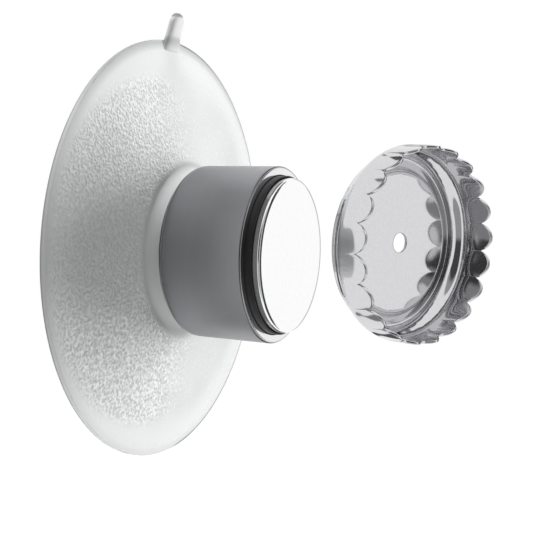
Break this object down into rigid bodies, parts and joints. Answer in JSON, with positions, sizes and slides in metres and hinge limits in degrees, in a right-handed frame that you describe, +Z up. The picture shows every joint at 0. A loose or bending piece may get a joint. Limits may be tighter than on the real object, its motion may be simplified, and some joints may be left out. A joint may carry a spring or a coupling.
{
  "type": "magnetic soap holder",
  "caption": "Wall-mounted magnetic soap holder: suction cup with pull tab, round steel casing with a covered magnet, and a toothed steel cap that presses into the soap.",
  "frame": {"origin": "centre of the suction cup's rim, in the plane that it seals against", "axes": "-Y out of the wall along the holder's axis, +Z up through the pull tab, +X to the right as seen from the room"},
  "size_m": [0.06, 0.0458, 0.064],
  "materials": {
    "clear_pvc": "translucent, finely grained",
    "satin_steel": "satin",
    "core_plastic": "matte",
    "plated_steel": "zinc plated",
    "nickel_magnet": "nickel plated",
    "black_rubber": "matte",
    "polished_steel": "mirror polished",
    "bright_steel": "mirror polished"
  },
  "bodies": {
    "base": {"suction_cup": "clear_pvc"},
    "head": {"casing": "satin_steel", "core": "core_plastic", "back_plate": "plated_steel", "magnet": "nickel_magnet", "seal_ring": "black_rubber", "magnet_cover": "polished_steel"},
    "cap": {"soap_cap": "bright_steel"}
  },
  "joints": [
    {"name": "head_press", "type": "slide", "parent": "base", "child": "head", "axis": [0, 1, 0], "range_m": [0, 0.003], "stiffness_N_per_m": 3000, "deforming": ["suction_cup"]},
    {"name": "cap_swing", "type": "hinge", "parent": "head", "child": "cap", "pos_m": [-0.0324, -0.03221, 0.00208], "axis": [0, 0.1805, 0.9836], "range_deg": [0, 23]}
  ]
}
